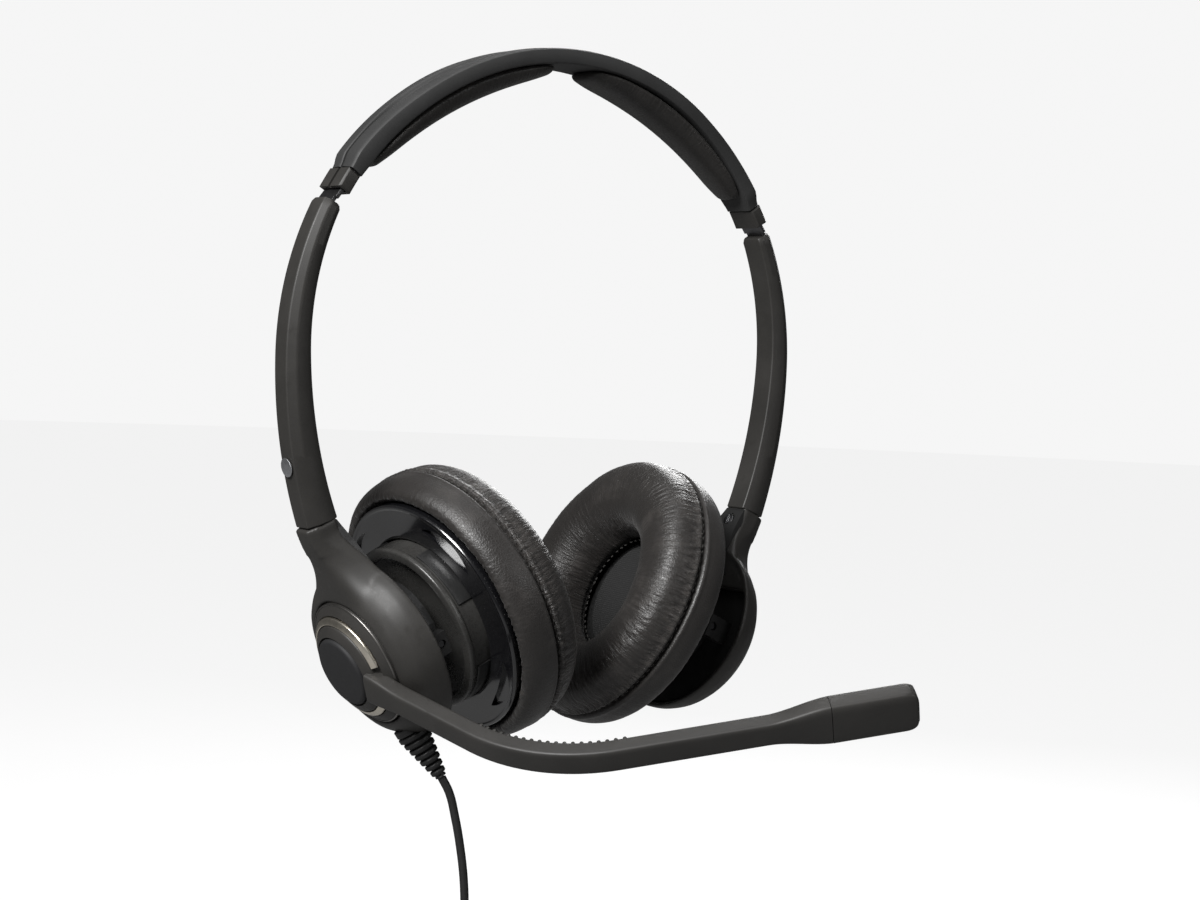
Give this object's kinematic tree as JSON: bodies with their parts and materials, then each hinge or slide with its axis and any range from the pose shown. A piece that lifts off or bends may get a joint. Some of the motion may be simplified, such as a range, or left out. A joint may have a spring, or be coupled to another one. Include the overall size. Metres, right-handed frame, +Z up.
{
  "type": "headset",
  "caption": "Office headset: sprung over-head band with sliding arms, padded on-ear cushions in gimballed cups, a turning microphone boom and a coiled quick-release cord.",
  "frame": {"origin": "middle of the flat under the top of the headband, where it rests on a stand or a head", "axes": "+Z up, -Y to the wearer's face (the side that the microphone boom points to), the boom's hub on the -X side"},
  "size_m": [0.1634, 0.1526, 0.3102],
  "materials": {
    "cover_soft_touch": "matt soft-touch rubber skin",
    "spring_steel": "brushed spring steel",
    "pin_steel": "plain turned steel",
    "pad_leatherette": "satin black leatherette",
    "cushion_leatherette": "soft creased black leatherette",
    "frame_plastic": "fine-grained charcoal plastic",
    "inner_plastic": "satin black plastic",
    "backplate_gloss": "polished black plastic",
    "driver_metal": "plated steel can",
    "speaker_cloth": "fine acoustic cloth",
    "accent_metal": "warm polished metal",
    "cap_rubber": "near-black rubber",
    "mic_mesh": "dark acoustic mesh",
    "marker_silver": "plain silver foil",
    "cord_rubber": "matt black jacket",
    "plug_plastic": "matt black plastic",
    "contact_metal": "gold-flashed contacts"
  },
  "bodies": {
    "headband": {"band_cover": "cover_soft_touch", "band_spring": "spring_steel", "left_end_collar": "frame_plastic", "left_band_pad": "pad_leatherette", "right_end_collar": "frame_plastic", "right_band_pad": "pad_leatherette"},
    "left_slider": {"left_slider_strap": "spring_steel", "left_arm": "frame_plastic", "left_yoke_shell": "frame_plastic", "left_yoke_cover": "inner_plastic", "left_yoke_screw": "pin_steel", "left_front_tilt_pin": "pin_steel", "left_rear_tilt_pin": "pin_steel", "side_marker": "marker_silver", "strain_relief": "cord_rubber", "cord": "cord_rubber", "cord_coil": "cord_rubber", "cord_tie": "plug_plastic", "cord_tail": "cord_rubber", "plug_body": "plug_plastic", "plug_latch": "plug_plastic", "plug_contacts": "contact_metal"},
    "right_slider": {"right_slider_strap": "spring_steel", "right_arm": "frame_plastic", "right_yoke_shell": "frame_plastic", "right_yoke_cover": "inner_plastic", "right_yoke_screw": "pin_steel", "right_front_tilt_pin": "pin_steel", "right_rear_tilt_pin": "pin_steel", "right_hub": "frame_plastic", "right_accent_ring": "accent_metal", "right_hub_cap": "cap_rubber", "right_hub_axle": "pin_steel"},
    "left_gimbal": {"left_gimbal_ring": "inner_plastic"},
    "right_gimbal": {"right_gimbal_ring": "inner_plastic"},
    "left_cup": {"left_cup_housing": "inner_plastic", "left_backplate": "backplate_gloss", "left_baffle": "inner_plastic", "left_speaker_driver": "driver_metal", "left_speaker_cloth": "speaker_cloth", "left_cushion": "cushion_leatherette", "left_lower_swivel_pin": "pin_steel", "left_upper_swivel_pin": "pin_steel"},
    "right_cup": {"right_cup_housing": "inner_plastic", "right_backplate": "backplate_gloss", "right_baffle": "inner_plastic", "right_speaker_driver": "driver_metal", "right_speaker_cloth": "speaker_cloth", "right_cushion": "cushion_leatherette", "right_lower_swivel_pin": "pin_steel", "right_upper_swivel_pin": "pin_steel"},
    "boom": {"left_hub": "frame_plastic", "left_accent_ring": "accent_metal", "left_hub_cap": "cap_rubber", "left_hub_axle": "pin_steel", "boom_arm": "frame_plastic", "mic_housing": "frame_plastic", "mic_capsule": "mic_mesh", "mic_screen": "mic_mesh"}
  },
  "joints": [
    {"name": "left_slide", "type": "slide", "parent": "headband", "child": "left_slider", "axis": [-0.6191, 0, -0.7853], "range_m": [-0.002, 0.018]},
    {"name": "right_slide", "type": "slide", "parent": "headband", "child": "right_slider", "axis": [0.6191, 0, -0.7853], "range_m": [-0.002, 0.018]},
    {"name": "left_tilt", "type": "hinge", "parent": "left_slider", "child": "left_gimbal", "pos_m": [-0.04412, 0, -0.14683], "axis": [0, 1, 0], "range_deg": [-5, 9]},
    {"name": "right_tilt", "type": "hinge", "parent": "right_slider", "child": "right_gimbal", "pos_m": [0.04412, 0, -0.14683], "axis": [0, -1, 0], "range_deg": [-5, 9]},
    {"name": "left_swivel", "type": "hinge", "parent": "left_gimbal", "child": "left_cup", "pos_m": [-0.04412, 0, -0.14683], "axis": [-0.3987, 0, 0.9171], "range_deg": [-12, 6]},
    {"name": "right_swivel", "type": "hinge", "parent": "right_gimbal", "child": "right_cup", "pos_m": [0.04412, 0, -0.14683], "axis": [-0.4147, 0, -0.91], "range_deg": [-15.5, 2.5]},
    {"name": "boom_turn", "type": "hinge", "parent": "left_slider", "child": "boom", "pos_m": [-0.0621, 0, -0.1556], "axis": [-0.8988, 0, -0.4384], "range_deg": [-30, 75]}
  ]
}
